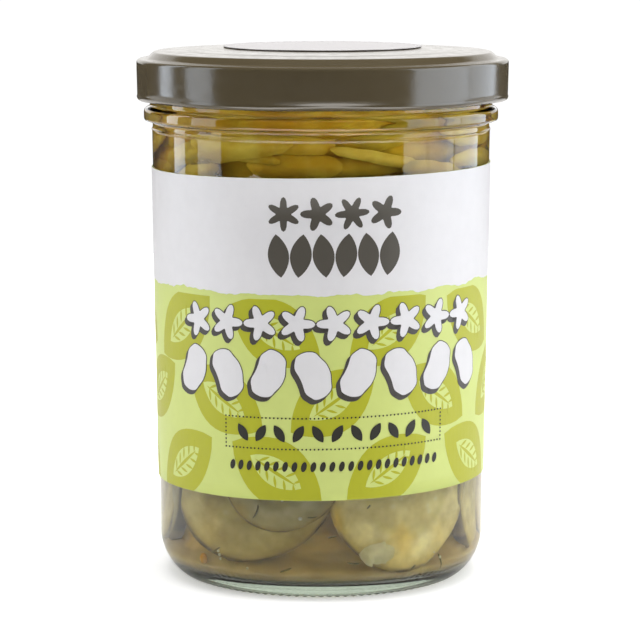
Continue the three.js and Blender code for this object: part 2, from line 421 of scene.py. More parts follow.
def lid():
    outside = rounded([
        (0, LID_TOP, 0),
        (PANEL_RADIUS - 8.0, LID_TOP, 0.8),
        (PANEL_RADIUS - 6.0, LID_TOP - 0.2, 0.8),
        (PANEL_RADIUS + 0.1, LID_TOP - 0.42, 0.4),
        (PANEL_RADIUS + 1.8, LEDGE_Z, 0.6),
        (LID_RADIUS, LEDGE_Z, 1.5),
        (LID_RADIUS, LEDGE_Z - 2.0, 0),
    ], 8)
    hem_z = LID_BOTTOM + CURL
    skirt = between(outside[-1], (LID_RADIUS - 0.1, LUG_TOP + 0.2), 10)
    skirt += between(skirt[-1], (LID_RADIUS - 0.12, hem_z + 0.3), 10)
    curl = arc(LID_RADIUS - CURL - 0.02, hem_z, CURL, 4, -230, 24)
    inner = LID_RADIUS - LID_SHEET
    inside = rounded([
        (inner - 0.2, LUG_TOP - 0.6, 0),
        (inner, LUG_TOP + 1.2, 0),
        (inner, LEDGE_Z - LID_SHEET, 1.2),
        (PANEL_RADIUS + 1.5, LEDGE_Z - LID_SHEET, 0.6),
        (PANEL_RADIUS - 0.2, LID_TOP - LID_SHEET - 0.42, 0.4),
        (PANEL_RADIUS - 6.0, LID_TOP - LID_SHEET - 0.2, 0.8),
        (PANEL_RADIUS - 8.0, LID_TOP - LID_SHEET, 0.8),
        (0, LID_TOP - LID_SHEET, 0),
    ])
    inner_skirt = between(curl[-1], inside[0], 4)[:-1]
    profile = braced(outside) + skirt + curl + inner_skirt + inside

    def shape(r, angle, z):
        across = hump(to_nearest(angle, FIRST_START, STARTS) / LUG_HALF_WIDTH)
        down = min(1, max(0, LUG_TOP - z) / (LUG_TOP - LID_BOTTOM)) ** 2
        waver = 0.05 * noise.noise(Vector((math.cos(angle) * 2, math.sin(angle) * 2, z * 0.1)))
        settled = waver * min(1, r / 30) if z < LEDGE_Z else 0
        return r - LUG_DEPTH * across * down + settled, angle, z

    points, faces = turned(profile[::-1], 480, shape)
    points = [(x + LID_SHIFT, y, z) for x, y, z in points]
    return put_in_scene("twist_off_lid", points, faces, enamel(), "lid_enamel")


# Paper seal and label


def seal():
    rows = [(SEAL_RADIUS * share, 0) for share in (0, 0.5, 0.9)]
    rows += [(SEAL_RADIUS - 0.5, 0.02), (SEAL_RADIUS, 0.1)]
    base = LID_TOP + PAPER_GAP

    def shape(r, angle, z):
        spot = Vector((r * math.cos(angle), r * math.sin(angle), 3))
        slack = 0.05 * noise.noise(spot * 0.12) * (r / SEAL_RADIUS) ** 2
        return r, angle, z + max(slack, -0.02)

    low = [(r, base + lift) for r, lift in rows]
    high = [(r, base + lift + PAPER) for r, lift in rows]
    points, faces = turned(low + high[::-1], 180, shape)
    points = [(x + LID_SHIFT, y + SEAL_OFFSET, z) for x, y, z in points]
    look = paper("seal_paper", SEAL_WHITE, 0.5)
    return put_in_scene("lid_paper_seal", points, faces, look, "seal_paper")


def on_label(along, z, out):
    """A place on the label: along is the distance round from the front, out the height above its face."""
    angle = along / LABEL_RADIUS
    radius = body_radius(z) + PAPER_GAP + PAPER + out
    return at(radius, angle, z + LABEL_TILT * math.sin(angle))


def label():
    half = LABEL_HALF_ANGLE * LABEL_RADIUS
    columns = 200
    rows = 24
    points = []
    faces = []
    for out in (-PAPER, 0):
        for i in range(columns + 1):
            for j in range(rows + 1):
                z = LABEL_BOTTOM + (LABEL_TOP - LABEL_BOTTOM) * j / rows
                points.append(on_label(half * (2 * i / columns - 1), z, out))
    layer = (columns + 1) * (rows + 1)

    def spot(side, i, j):
        return side * layer + i * (rows + 1) + j

    for i in range(columns):
        for j in range(rows):
            faces.append((spot(1, i, j), spot(1, i + 1, j), spot(1, i + 1, j + 1), spot(1, i, j + 1)))
            faces.append((spot(0, i, j), spot(0, i, j + 1), spot(0, i + 1, j + 1), spot(0, i + 1, j)))
        for j, turn in ((0, 1), (rows, -1)):
            side = (spot(0, i, j), spot(0, i + 1, j), spot(1, i + 1, j), spot(1, i, j))
            faces.append(side[::turn])
    for j in range(rows):
        for i, turn in ((0, -1), (columns, 1)):
            side = (spot(0, i, j), spot(0, i, j + 1), spot(1, i, j + 1), spot(1, i, j))
            faces.append(side[::turn])
    return put_in_scene("label_paper", points, faces, paper("label_green", LIGHT_GREEN), "label_paper")


# Printed shapes. Each is a list of (along, z) corners, anticlockwise, laid on the label as a film of ink.


def moved(outline, along, z, turn=0.0, size=1.0):
    c = math.cos(turn) * size
    s = math.sin(turn) * size
    return [(along + c * a - s * b, z + s * a + c * b) for a, b in outline]


def oval(width, height, sides=28):
    angles = [2 * math.pi * i / sides for i in range(sides)]
    return [(width / 2 * math.cos(a), height / 2 * math.sin(a)) for a in angles]


def leaf(length, width, steps=14):
    """A pointed leaf that lies along the first direction."""
    low = []
    for i in range(steps + 1):
        t = i / steps
        low.append((length * (t - 0.5), -width / 2 * math.sin(math.pi * t) ** 0.8))
    return low + [(a, -b) for a, b in low[-2:0:-1]]


def gherkin(length, width, bend, steps=64):
    outline = []
    for i in range(steps):
        a = 2 * math.pi * i / steps
        x = length / 2 * math.copysign(abs(math.cos(a)) ** 0.72, math.cos(a))
        y = width / 2 * math.copysign(abs(math.sin(a)) ** 0.8, math.sin(a))
        outline.append((x, y * (1 + 0.05 * math.sin(7 * a)) + bend * (2 * x / length) ** 2))
    return outline


def blossom(size, petals=5, steps=50):
    outline = []
    for i in range(steps):
        a = 2 * math.pi * i / steps + math.pi / 2
        r = size / 2 * (0.72 + 0.28 * math.cos(petals * (a - math.pi / 2)))
        outline.append((r * math.cos(a), r * math.sin(a)))
    return outline


def grown(outline, by):
    """The outline moved outwards by a distance, for outlines without sharp inner corners."""
    out = []
    count = len(outline)
    for i, (x, y) in enumerate(outline):
        px, py = outline[i - 1]
        nx, ny = outline[(i + 1) % count]
        tx, ty = nx - px, ny - py
        length = math.hypot(tx, ty) or 1
        out.append((x + by * ty / length, y - by * tx / length))
    return out


def ink_film(name, outlines, level, look):
    """Lays printed outlines on the label. level is how many films lie under this one."""
    mesh = bmesh.new()
    for outline in outlines:
        corners = [mesh.verts.new((a, z, 0)) for a, z in outline]
        flat = [Vector((a, z, 0)) for a, z in outline]
        for triangle in geometry.tessellate_polygon([flat]):
            try:
                mesh.faces.new([corners[i] for i in triangle])
            except ValueError:
                continue
    bmesh.ops.recalc_face_normals(mesh, faces=mesh.faces)
    for face in mesh.faces:
        if face.normal.z < 0:
            face.normal_flip()
    low = min(v.co.x for v in mesh.verts)
    high = max(v.co.x for v in mesh.verts)
    cut = math.ceil(low / FACET) * FACET
    while cut < high:
        everything = mesh.verts[:] + mesh.edges[:] + mesh.faces[:]
        bmesh.ops.bisect_plane(mesh, geom=everything, plane_co=(cut, 0, 0), plane_no=(1, 0, 0), dist=1e-5)
        cut += FACET
    top = bmesh.ops.extrude_face_region(mesh, geom=mesh.faces[:])["geom"]
    for v in top:
        if isinstance(v, bmesh.types.BMVert):
            v.co.z = 1
    bmesh.ops.recalc_face_normals(mesh, faces=mesh.faces)
    base = level * INK
    for v in mesh.verts:
        v.co = Vector(on_label(v.co.x, v.co.y, base + (INK if v.co.z > 0.5 else -0.004)))
    bmesh.ops.triangulate(mesh, faces=[f for f in mesh.faces if len(f.verts) > 4])
    return put_in_scene(name, *taken_out(mesh), look, "label_paper", smooth=False)


def torn_edge(along):
    coarse = noise.noise(Vector((along * 0.13, 4.2, 0)))
    fine = noise.noise(Vector((along * 0.7, 9.1, 0)))
    return TORN_Z + 1.1 * coarse + 0.45 * fine


def print_label():
    half = LABEL_HALF_ANGLE * LABEL_RADIUS - 0.02
    draw = random.Random(SEED)

    steps = 330
    across = [half * (2 * i / steps - 1) for i in range(steps + 1)]
    high = LABEL_TOP - 0.01
    white_field = []
    for a, b in zip(across, across[1:]):
        white_field.append([(a, torn_edge(a)), (b, torn_edge(b)), (b, high), (a, high)])

    leaves = []
    hearts = []
    ribs = []
    pitch = 2 * half / 9
    for row, (z, shift) in enumerate(((60.5, 0.1), (45.0, 0.6), (29.5, 0.1))):
        for i in range(9):
            along = -half + pitch * ((i + shift) % 9)
            if abs(along) > half - 14:
                continue
            turn = math.radians(36 if (i + row) % 2 else -32) + 0.1 * (draw.random() - 0.5)
            size = 0.94 + 0.08 * draw.random()
            leaves.append(moved(leaf(24, 14.4), along, z, turn, size))
            hearts.append(moved(leaf(13.5, 6.0), along, z, turn, size))
            ribs.append(moved(leaf(11, 0.8), along, z, turn, size))
            for k in range(-2, 3):
                for way in (-1, 1):
                    side = way * (1.8 - 0.3 * abs(k))
                    vein = moved(leaf(2.8, 0.6), k * 2.3 + 1.0, side, way * 0.9)
                    ribs.append(moved(vein, along, z, turn, size))
    top = TORN_Z - 1.0
    ink_film("print_leaves", [clipped(o, top) for o in leaves], 0, paper("print_olive", OLIVE))
    ink_film("print_leaf_hearts", [clipped(o, top) for o in hearts], 1, paper("print_light", LIGHT_GREEN))
    veins = [clipped(o, top) for o in ribs]
    ink_film("print_leaf_veins", [o for o in veins if o], 2, paper("print_vein", OLIVE))
    ink_film("print_white_field", white_field, 3, paper("print_white", WHITE))

    shadow = (-0.75, -0.85)
    fronts = []
    backs = []
    for i in range(9):
        shape = moved(blossom(8.0), -30.0 + i * 8.25, 62.6, 0.35 * (-1) ** i)
        fronts.append(shape)
    for i in range(8):
        turn = math.radians(90 + (24 if i % 2 else -24))
        shape = moved(gherkin(10.8, 6.6, 0.55), -31.5 + i * 10.0, 51.3, turn)
        fronts.append(shape)
    for shape in fronts:
        for k in range(5):
            t = k / 4
            backs.append(moved(grown(shape, 0.2), shadow[0] * t, shadow[1] * t))
    ink_film("print_motif_shadows", backs, 3, paper("print_dark", DARK))
    ink_film("print_motifs", fronts, 4, paper("print_motif_white", WHITE))

    dots = []
    for k in range(58):
        along = FRAME_LEFT + (FRAME_RIGHT - FRAME_LEFT) * k / 57
        dots += [(along, FRAME_LOW), (along, FRAME_HIGH)]
    for k in range(1, 8):
        z = FRAME_LOW + (FRAME_HIGH - FRAME_LOW) * k / 8
        dots += [(FRAME_LEFT, z), (FRAME_RIGHT, z)]
    marks = [moved(oval(DOT, DOT, 8), *dot) for dot in dots]
    for k in range(11):
        turn = math.radians(58 if k % 2 else 122)
        marks.append(moved(leaf(4.4, 2.1), -17.9 + 4.3 * k, 38.15, turn))
    for k in range(24):
        marks.append(moved(oval(1.25, 2.3, 14), -20.6 + 2.1 * k, 30.8, -0.25))
    ink_film("print_small_marks", marks, 4, paper("print_black", BLACK))

    emblem = []
    for k in range(4):
        emblem.append(moved(blossom(7.6, 6 - k % 2), 3.0 + 7.4 * (k - 1.5), 86.6, 0.3 * k))
    for k in range(6):
        lean = math.radians(90 + 7 * (-1) ** k)
        emblem.append(moved(leaf(9.6, 4.7), 3.0 + 4.9 * (k - 2.5), 77.5, lean))
    ink_film("print_emblem", emblem, 4, paper("print_emblem_grey", EMBLEM_GREY))


def clipped(outline, top):
    """The part of a convex-sided outline below a height and above the label's foot."""
    low = LABEL_BOTTOM + 0.05
    for keep, edge in ((lambda z: z <= top, top), (lambda z: z >= low, low)):
        out = []
        for i, (x, z) in enumerate(outline):
            px, pz = outline[i - 1]
            if keep(z) != keep(pz):
                t = (edge - pz) / (z - pz)
                out.append((px + (x - px) * t, edge))
            if keep(z):
                out.append((x, z))
        outline = out
        if len(outline) < 3:
            return []
    return outline


# Contents


def cucumber_slice(draw, angle, z, wide, high, roll, depth, yaw, pitch, tone, sides=48):
    """Points, faces, places and tones of one bent slice near the glass.

    A place is where a point lies in its slice, with the slice's own number."""
    fractions = (0.12, 0.24, 0.36, 0.48, 0.6, 0.72, 0.84, 0.93)
    half = SLICE_THICKNESS / 2 * (0.85 + 0.3 * draw.random())
    edge = 0.9
    phase = draw.random() * 6.28
    tag = draw.random() * 50
    seeds = 9
    points = []
    places = []
    faces = []

    def add(x, y, w):
        u, v = spun(x * wide, y * high, roll)
        w += 0.5 * noise.noise(Vector((x * 1.5, y * 1.5, tag)))
        v, w = spun(v, w, pitch)
        u, w = spun(u, w, yaw)
        height = min(max(z + v, CAVITY_FLOOR + 0.9), BRINE_TOP - 1.5)
        wall = cavity_radius(height) - 0.35
        radius = max(2.0, min(wall, cavity_radius(z) - 0.35 - depth - half + w))
        height = max(height, floor_height(radius) + 0.35)
        points.append(at(radius, angle + u / cavity_radius(z), height))
        places.append((*spun(x, y, phase), tag))

    rings = []
    rows = [(f, 1) for f in fractions] + [(0.97, 0.8), (1.0, 0.35), (1.0, -0.35), (0.97, -0.8)]
    rows += [(f, -1) for f in fractions[::-1]]
    add(0, 0, half)
    for fraction, side in rows:
        rings.append(len(points))
        for i in range(sides):
            a = 2 * math.pi * i / sides
            r = fraction * (1 + 0.025 * math.cos(2 * a + tag) + 0.02 * math.cos(3 * a + 2 * tag))
            r += 0.012 * noise.noise(Vector((2.5 * math.cos(a), 2.5 * math.sin(a), tag)))
            height = half * side if abs(side) == 1 else (half - edge) * (1 if side > 0 else -1) + edge * side
            if abs(side) == 1 and 0.2 < fraction < 0.62:
                lobe = 0.5 + 0.5 * math.cos(seeds * a)
                height += 0.35 * side * lobe * hump((fraction - 0.42) / 0.2)
            add(r * math.cos(a), r * math.sin(a), height)
    last = len(points)
    add(0, 0, -half)
    for i in range(sides):
        j = (i + 1) % sides
        faces.append((0, rings[0] + i, rings[0] + j))
        for a, b in zip(rings, rings[1:]):
            faces.append((a + i, b + i, b + j, a + j))
        faces.append((last, rings[-1] + j, rings[-1] + i))
    return points, faces, places, [tone] * len(points)


# Slices that show below the label in front: angle in degrees, z, half width, half height, roll in degrees,
# depth behind the glass, yaw, pitch, tone
FRONT_SLICES = (
    (33.5, 24.2, 18.8, 18.4, 0, 0.1, 0.03, 0.02, 1.62),
    (-30.0, 27.3, 23.0, 19.6, 12, 1.6, -0.04, 0.03, 1.1),
    (-16.0, 29.0, 14.4, 14.0, 0, 0.1, 0.05, 0.06, 0.92),
    (-84.0, 24.0, 15.0, 16.0, 0, 4.0, 0.3, 0.0, 0.6),
    (84.0, 22.0, 16.0, 17.0, 0, 3.0, -0.25, 0.05, 1.4),
)


# Golden and brown stains on the front slices: angle in degrees, z, half width in degrees, half height,
# strength
STAINS = (
    (5.5, 17.0, 3.5, 9.0, 0.85),
    (31.0, 12.5, 9.0, 7.0, 0.6),
    (47.0, 13.0, 7.0, 5.0, 0.3),
    (-45.0, 15.0, 9.0, 7.0, 0.35),
    (-30.0, 19.5, 5.0, 4.0, 0.4),
)


def stained(point):
    """How deeply a point on a slice is stained."""
    x, y, z = point
    angle = math.degrees(math.atan2(x, -y))
    deepest = 0.0
    for degrees, height, wide, high, strength in STAINS:
        away = math.hypot((angle - degrees) / wide, (z - height) / high)
        ragged = away + 0.35 * noise.noise(Vector((x, y, z)) * 0.35)
        deepest = max(deepest, strength * hump(max(ragged, 0)))
    return deepest


def slices():
    draw = random.Random(SEED)
    points = []
    faces = []
    places = []
    tones = []

    def add(*form):
        p, f, q, t = cucumber_slice(draw, *form)
        join(points, faces, p, f)
        places.extend(q)
        tones.extend(t)

    for degrees, z, wide, high, roll, depth, yaw, pitch, tone in FRONT_SLICES:
        add(math.radians(degrees), z, wide, high, math.radians(roll), depth, yaw, pitch, tone)
    for row in range(SLICE_ROWS):
        z = 21 + row * ROW_STEP
        for i in range(SLICES_IN_ROW):
            share = (i + 0.5 * (row % 2) + 0.3 * draw.random()) / SLICES_IN_ROW
            angle = to_nearest(2 * math.pi * share, 0, 1)
            size = SLICE_RADIUS * (0.8 + 0.25 * draw.random())
            squash = 0.86 + 0.14 * draw.random()
            depth = 0.4 + 4.5 * draw.random()
            yaw = 0.5 * (draw.random() - 0.5)
            pitch = 0.6 * (draw.random() - 0.5)
            if abs(angle) < FRONT_HALF_ANGLE and z < 48:
                continue
            tone = 0.75 + 0.5 * draw.random()
            middle = min(z, HIGHEST_SLICE) + 3 * draw.random()
            roll = 3 * draw.random()
            add(angle, middle, size, size * squash, roll, depth, yaw, pitch, tone)
    piece = put_in_scene("cucumber_slices", points, faces, cucumber(), "pickle")
    mesh = piece.data
    place = mesh.attributes.new("place", "FLOAT_VECTOR", "POINT")
    place.data.foreach_set("vector", [value for spot in places for value in spot])
    mesh.attributes.new("tone", "FLOAT", "POINT").data.foreach_set("value", tones)
    stains = [stained(point) for point in points]
    mesh.attributes.new("stain", "FLOAT", "POINT").data.foreach_set("value", stains)
    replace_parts(piece, "pickles")
    return piece


def core():
    side = cavity_radius(50) - CORE_DEPTH
    foot = CAVITY_FLOOR + CAVITY_DOME + 0.4
    outline = rounded([
        (0, foot, 0),
        (side - 9, foot, 4),
        (cavity_radius(4.4) - 0.5, 4.4, 0.5),
        (cavity_radius(5.2) - 0.5, 5.2, 0.5),
        (cavity_radius(6.2) - 1.2, 6.2, 1),
        (side + 2, 9, 4),
        (side + 1, 14, 4),
        (side, 26, 8),
        (side + 1, 86, 8),
        (side + 1.5, 100, 4),
        (side + 3.5, 105, 3),
        (side + 3.5, CORE_TOP, 2),
        (0, CORE_TOP, 0),
    ], 8)
    outline = [q for a, b in zip(outline, outline[1:]) for q in between(a, b, 3)]
    outline = [(0, foot)] + outline

    def shape(r, angle, z):
        spot = Vector((r * math.sin(angle), r * math.cos(angle), z * 1.6)) * 0.11
        r *= 1 + 0.06 * noise.noise(spot) + 0.02 * noise.noise(spot * 3)
        r = min(r, cavity_radius(z) - 0.3)
        return r, angle, max(z, floor_height(r) + 0.3)

    points, faces = turned(outline, 160, shape)
    return put_in_scene("pickle_core", points, faces, core_look(), "pickle")


# Small bits that show at the front's foot: angle in degrees and z
FRONT_SEEDS = ((-49.4, 7.1),)
FRONT_FRAGMENT = ((21.0, 10.2),)
FRONT_DILL = (
    (42.5, 10.4), (4.0, 14.5), (18.0, 21.5), (37.0, 7.2), (-13.0, 7.0),
    (-41.6, 9.7), (12.0, 8.4), (-24.0, 19.6), (-3.0, 19.0), (50.0, 6.6),
)
FRONT_BUBBLES = (
    (-40.4, 9.6), (-39.8, 8.8), (-39.4, 8.0), (-14.0, 22.5),
    (-7.5, 18.6), (-28.0, 6.8), (49.0, 7.6), (45.5, 8.8),
)


def scattered(name, count, look, build, seed, placed=()):
    """Joins many small pieces that lie just behind the glass. build(draw) gives points, faces and clearance.

    placed lists (angle in degrees, z) of those that come first. The others stay off the front's foot."""
    draw = random.Random(seed)
    points = []
    faces = []
    spots = [(math.radians(degrees), z, 0.0) for degrees, z in placed]
    while len(spots) < count:
        low = draw.random() < 0.4
        z = CAVITY_FLOOR + 1.2 + 20 * draw.random() ** 1.5 if low else 12 + 84 * draw.random()
        angle = math.pi * (2 * draw.random() - 1)
        if z > LABEL_BOTTOM + 3 or abs(angle) > 1.45:
            spots.append((angle, z, 2.2 * draw.random() ** 2))
    for angle, z, deep in spots:
        p, f, clearance = build(draw)
        radius = cavity_radius(z) - clearance - deep
        bent = []
        for u, v, w in p:
            height = max(z + v, CAVITY_FLOOR + 0.4)
            reach = min(radius + w, cavity_radius(height) - 0.2)
            bent.append(at(reach, angle + u / radius, max(height, floor_height(reach) + 0.2)))
        join(points, faces, bent, f)
    return put_in_scene(name, points, faces, look, "pickle")


def ball(radius, squash):
    mesh = bmesh.new()
    bmesh.ops.create_icosphere(mesh, subdivisions=2, radius=radius)
    points, faces = taken_out(mesh)
    return [(x, y, z * squash) for x, y, z in points], faces


def mustard_seed(draw):
    radius = 0.8 + 0.35 * draw.random()
    points, faces = ball(radius, 0.9)
    return points, faces, radius + 0.3


# A small opaque ball for an air bubble; its pale colour, given where it is used, is a painted highlight.
def bubble(draw):
    radius = 0.2 + 0.22 * draw.random()
    points, faces = ball(radius, 1.0)
    return points, faces, radius + 0.21


def fragment(draw):
    points, faces = strip(draw, 7.5, 4.4, 0.9, 0.05, 0.3)
    ragged = []
    for x, y, w in points:
        jut = 0.7 * noise.noise(Vector((x, y, 5)) * 0.9)
        ragged.append((x + jut, y * (1 + 0.5 * jut), w))
    return ragged, faces, 0.75


def strip(draw, length, width, thick, curl, lean=math.pi):
    """A thin bent strip with rounded ends, turned at random in the wall's plane by up to half of lean."""
    steps = 12
    turn = lean * (draw.random() - 0.5)
    bend = curl * (draw.random() - 0.5) * 2
    points = []
    faces = []
    for i in range(steps + 1):
        t = i / steps - 0.5
        across = width / 2 * math.sqrt(max(0.06, 1 - (2 * t) ** 4))
        x = length * t
        y = bend * length * (t * t - 0.08)
        for side, lift in ((-1, -1), (1, -1), (1, 1), (-1, 1)):
            points.append((*spun(x, y + side * across, turn), lift * thick / 2))
        if i:
            k = 4 * i
            for q in range(4):
                r = (q + 1) % 4
                faces.append((k - 4 + q, k - 4 + r, k + r, k + q))
    faces.append((3, 2, 1, 0))
    end = 4 * steps
    faces.append((end, end + 1, end + 2, end + 3))
    return points, faces


def dill(draw):
    points, faces = strip(draw, 1.6 + 2.6 * draw.random(), 0.32, 0.25, 0.4)
    return points, faces, 0.6


def onion(draw):
    points, faces = strip(draw, 12 + 12 * draw.random(), 2.4 + 1.6 * draw.random(), 1.1, 0.8)
    return points, faces, 1.2


def strands():
    """Long soft strips that lie nearly level in the brine above the label."""
    draw = random.Random(SEED + 4)
    points = []
    faces = []
    for i in range(STRANDS):
        p, f = strip(draw, 12 + 18 * draw.random(), 2.0 + 4.0 * draw.random(), 1.0, 0.3, 0.9)
        z = STRANDS_LOW + 17 * draw.random()
        angle = 2 * math.pi * (i + 0.8 * draw.random()) / STRANDS
        radius = cavity_radius(z) - 2.5 - 5 * draw.random()
        bent = []
        for u, v, w in p:
            waver = 0.5 * noise.noise(Vector((u, v, i)) * 0.25)
            height = min(z + v + waver, BRINE_TOP - 1.5)
            reach = min(radius + w, cavity_radius(height) - 0.3)
            bent.append(at(reach, angle + u / radius, height))
        join(points, faces, bent, f)
    look = flesh("golden_strands", (0.64, 0.42, 0.07), (0.86, 0.68, 0.2), 110)
    return put_in_scene("golden_strands", points, faces, look, "pickle")


def small_bits():
    """Seeds, herbs, bubbles and strips, with those that the front's foot shows placed one by one."""
    look = flesh("mustard", (0.6, 0.28, 0.02), (0.7, 0.38, 0.05), 500)
    scattered("mustard_seeds", 44, look, mustard_seed, 5, FRONT_SEEDS)
    look = flesh("dill", (0.09, 0.08, 0.02), (0.14, 0.12, 0.03), 400)
    scattered("dill_bits", 60, look, dill, 7, FRONT_DILL)
    strands()
    # Painted highlight: the bubbles are pale opaque balls whose light colour stands in for the bright glints
    # of air bubbles in the brine.
    look = flesh("bubble", (0.6, 0.56, 0.4), (0.72, 0.68, 0.5), 900)
    scattered("bubbles", 30, look, bubble, 3, FRONT_BUBBLES)
    look = flesh("fragment", (0.6, 0.51, 0.24), (0.74, 0.65, 0.36), 300)
    scattered("pale_fragment", 1, look, fragment, 2, FRONT_FRAGMENT)
    look = flesh("onion", (0.5, 0.47, 0.2), (0.62, 0.6, 0.3), 200)
    scattered("onion_strips", 14, look, onion, 9)


# Materials


def new_look(name):
    look = bpy.data.materials.new(name)
    look.use_nodes = True
    nodes = look.node_tree.nodes
    return look, nodes, look.node_tree.links, nodes["Principled BSDF"]


def dial(node, values):
    """Sets a node's own sockets to fixed values."""
    for name, value in values.items():
        node.inputs[name].default_value = value


def texture(nodes, links, scale, detail=4.0):
    """Noise in the piece's own frame. A higher scale makes it finer."""
    where = nodes.new("ShaderNodeTexCoord")
    node = nodes.new("ShaderNodeTexNoise")
    dial(node, {"Scale": scale, "Detail": detail})
    links.new(where.outputs["Object"], node.inputs["Vector"])
    return node.outputs["Fac"]


def feed(links, socket, value):
    """Links a socket to another, or gives it a number or a colour."""
    if isinstance(value, bpy.types.NodeSocket):
        links.new(value, socket)
    else:
        socket.default_value = (*value, 1) if isinstance(value, tuple) else value


def mixed(nodes, links, share, a, b):
    """A colour between a and b."""
    node = nodes.new("ShaderNodeMix")
    node.data_type = "RGBA"
    for name, value in (("Factor", share), ("A", a), ("B", b)):
        feed(links, node.inputs[name], value)
    return node.outputs["Result"]


def maths(nodes, links, operation, *values):
    node = nodes.new("ShaderNodeMath")
    node.operation = operation
    for socket, value in zip(node.inputs, values):
        feed(links, socket, value)
    return node.outputs["Value"]


def mixed_shaders(nodes, links, share, a, b):
    node = nodes.new("ShaderNodeMixShader")
    for socket, value in zip(node.inputs, (share, a, b)):
        links.new(value, socket)
    return node.outputs["Shader"]


def attribute(nodes, name):
    node = nodes.new("ShaderNodeAttribute")
    node.attribute_name = name
    return node


def ranged(nodes, links, source, low, high, to_low=0.0, to_high=1.0):
    node = nodes.new("ShaderNodeMapRange")
    links.new(source, node.inputs["Value"])
    dial(node, {"From Min": low, "From Max": high, "To Min": to_low, "To Max": to_high})
    return node.outputs["Result"]


def bumped(nodes, links, shader, height, distance, strength=1.0):
    node = nodes.new("ShaderNodeBump")
    dial(node, {"Distance": distance, "Strength": strength})
    links.new(height, node.inputs["Height"])
    links.new(node.outputs["Normal"], shader.inputs["Normal"])


def tinted(colour, by):
    return tuple(max(0.0, min(1.0, c * by)) for c in colour)


def let_lamps_through(nodes, links, shader, share=0.97):
    """Shadow rays pass straight through, so that the lamps light what lies behind clear matter."""
    path = nodes.new("ShaderNodeLightPath")
    clear = nodes.new("ShaderNodeBsdfTransparent")
    clear.inputs["Color"].default_value = (share, share, share, 1)
    shadow = path.outputs["Is Shadow Ray"]
    mix = mixed_shaders(nodes, links, shadow, shader.outputs["BSDF"], clear.outputs["BSDF"])
    out = nodes["Material Output"]
    links.new(mix, out.inputs["Surface"])
    return out


def absorbing(nodes, links, out, colour, density):
    volume = nodes.new("ShaderNodeVolumeAbsorption")
    dial(volume, {"Color": (*colour, 1), "Density": density})
    links.new(volume.outputs["Volume"], out.inputs["Volume"])


def clear_glass():
    look, nodes, links, shader = new_look("clear_glass")
    tint = texture(nodes, links, 60, 2)
    colour = mixed(nodes, links, tint, (1, 1, 1), (0.985, 0.995, 0.99))
    links.new(colour, shader.inputs["Base Color"])
    dial(shader, {
        "Roughness": 0,
        "Transmission Weight": 1,
        "IOR": 1.52,
        "Specular Tint": (0.5, 0.5, 0.5, 1),
    })
    out = let_lamps_through(nodes, links, shader)
    absorbing(nodes, links, out, (0.63, 0.71, 0.62), 30)
    return look


def brine_look():
    look, nodes, links, shader = new_look("golden_brine")
    haze = texture(nodes, links, 90, 3)
    colour = mixed(nodes, links, haze, (1, 1, 1), (0.99, 0.985, 0.97))
    links.new(colour, shader.inputs["Base Color"])
    links.new(ranged(nodes, links, haze, 0.3, 0.8, 0.0, 0.03), shader.inputs["Roughness"])
    dial(shader, {"Transmission Weight": 1, "IOR": 1.34, "Specular Tint": (0, 0, 0, 1)})
    out = let_lamps_through(nodes, links, shader, 1.0)
    absorbing(nodes, links, out, (0.97, 0.86, 0.1), 160)
    return look


def enamel():
    look, nodes, links, shader = new_look("dark_enamel")
    patches = texture(nodes, links, 45, 3)
    colour = mixed(nodes, links, patches, (0.078, 0.061, 0.034), (0.092, 0.073, 0.042))
    links.new(colour, shader.inputs["Base Color"])
    wear = texture(nodes, links, 420, 6)
    links.new(ranged(nodes, links, wear, 0.35, 0.75, 0.13, 0.22), shader.inputs["Roughness"])
    shader.inputs["IOR"].default_value = 1.43
    peel = texture(nodes, links, 1100, 2)
    bumped(nodes, links, shader, peel, 0.00002, 0.6)
    return look


def paper(name, colour, rough=PAPER_ROUGHNESS):
    look, nodes, links, shader = new_look(name)
    mottle = texture(nodes, links, 380, 5)
    share = ranged(nodes, links, mottle, 0.3, 0.7)
    mottled = mixed(nodes, links, share, tinted(colour, 0.985), tinted(colour, 1.012))
    links.new(mottled, shader.inputs["Base Color"])
    fibre = texture(nodes, links, 2600, 3)
    worn = ranged(nodes, links, fibre, 0.2, 0.8, rough - 0.06, rough + 0.08)
    links.new(worn, shader.inputs["Roughness"])
    shader.inputs["Specular IOR Level"].default_value = 0.3
    bumped(nodes, links, shader, fibre, 0.00003, 0.5)
    return look


